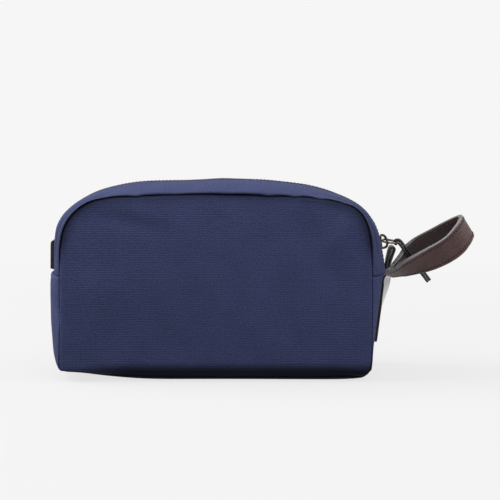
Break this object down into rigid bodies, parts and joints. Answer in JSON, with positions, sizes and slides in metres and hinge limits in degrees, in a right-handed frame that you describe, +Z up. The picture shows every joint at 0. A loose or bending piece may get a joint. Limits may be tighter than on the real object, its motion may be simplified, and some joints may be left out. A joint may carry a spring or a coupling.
{
  "type": "shaving kit bag",
  "caption": "Boxy canvas wash bag with rounded top corners, a zip over the top and a twisted leather wrist loop on one end.",
  "frame": {"origin": "centre of the base's underside, halfway between the front and back seams and between the ends of the panels", "axes": "+X to the end with the wrist loop, +Y from the front panel to the back panel, +Z up"},
  "size_m": [0.3278, 0.11, 0.1503],
  "materials": {
    "navy_canvas": "ribbed cotton canvas, matt",
    "grey_lining": "woven nylon lining",
    "fibre_board": "pressed fibre stiffener",
    "black_tape": "woven zip tape",
    "gunmetal": "dark nickel plate",
    "black_leather": "smooth black leather",
    "brown_leather": "waxed brown leather",
    "dark_leather": "brown leather, flesh side"
  },
  "bodies": {
    "bag": {"base_panel": "navy_canvas", "base_board": "fibre_board", "base_lining": "grey_lining", "side_gusset_left": "navy_canvas", "side_gusset_right": "navy_canvas", "side_lining_left": "grey_lining", "side_lining_right": "grey_lining", "back_panel": "navy_canvas", "back_lining": "grey_lining", "zip_gusset_back": "navy_canvas", "zip_gusset_lining_back": "grey_lining", "zip_tape_back": "black_tape", "zip_teeth_back": "gunmetal", "zip_stop_left": "gunmetal", "zip_stop_right": "gunmetal", "zip_tab_left": "black_leather", "zip_tab_right": "black_leather", "strap_end_outer": "black_leather", "strap_end_inner": "black_leather"},
    "front_half": {"front_panel": "navy_canvas", "front_lining": "grey_lining", "zip_gusset_front": "navy_canvas", "zip_gusset_lining_front": "grey_lining", "zip_tape_front": "black_tape", "zip_teeth_front": "gunmetal"},
    "zip_slider": {"slider_body": "gunmetal", "slider_bridge": "gunmetal"},
    "zip_puller": {"puller_bar": "gunmetal"},
    "lace": {"pull_lace": "black_leather"},
    "wrist_loop": {"loop_outer_leather": "brown_leather", "loop_inner_leather": "dark_leather"}
  },
  "joints": [
    {"name": "mouth_fold", "type": "hinge", "parent": "bag", "child": "front_half", "pos_m": [0, -0.052, 0.0064], "axis": [1, 0, 0], "range_deg": [0, 15], "stiffness_Nm_per_rad": 0.1},
    {"name": "slider_travel", "type": "hinge", "parent": "bag", "child": "zip_slider", "pos_m": [0.0806, 0, 0.0956], "axis": [0, 1, 0], "range_deg": [-66, 0], "deforming": ["pull_lace"]},
    {"name": "puller_swing", "type": "hinge", "parent": "zip_slider", "child": "zip_puller", "pos_m": [0.129, 0, 0.10103], "axis": [0, 1, 0], "range_deg": [-60, 0], "deforming": ["pull_lace"]},
    {"name": "lace_swing", "type": "hinge", "parent": "zip_puller", "child": "lace", "pos_m": [0.13599, 0, 0.10017], "axis": [0, 1, 0], "range_deg": [-35, 10], "stiffness_Nm_per_rad": 0.0006, "deforming": ["pull_lace"]},
    {"name": "loop_swing", "type": "hinge", "parent": "bag", "child": "wrist_loop", "pos_m": [0.132, 0, 0.071], "axis": [0, 1, 0], "range_deg": [0, 85], "stiffness_Nm_per_rad": 0.09, "springref_deg": -1.72, "deforming": ["pull_lace"]}
  ]
}
